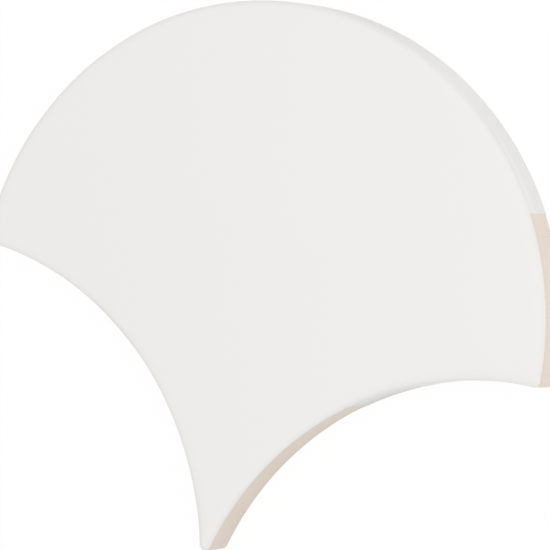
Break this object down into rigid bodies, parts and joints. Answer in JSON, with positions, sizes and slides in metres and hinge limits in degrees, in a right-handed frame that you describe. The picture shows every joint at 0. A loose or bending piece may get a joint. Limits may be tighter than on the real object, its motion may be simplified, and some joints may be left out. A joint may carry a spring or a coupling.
{
  "type": "fish scale tile",
  "caption": "Fan-shaped glazed ceramic wall tile with a round head, hollow flanks and a narrow foot, so that like tiles nest in overlapping scale rows.",
  "frame": {"origin": "middle of the tile's outline on its back plane", "axes": "+X across the width, +Y from the foot to the top of the round head, +Z out of the glazed face"},
  "size_m": [0.12, 0.1058, 0.008],
  "materials": {
    "glazed_tile": "white satin glaze on the face, the rounded front edge and the walls of the upper head and of the flanks next to the tips, bare beige biscuit on the other walls and the back"
  },
  "bodies": {
    "root": {"tile": "glazed_tile"}
  },
  "joints": []
}
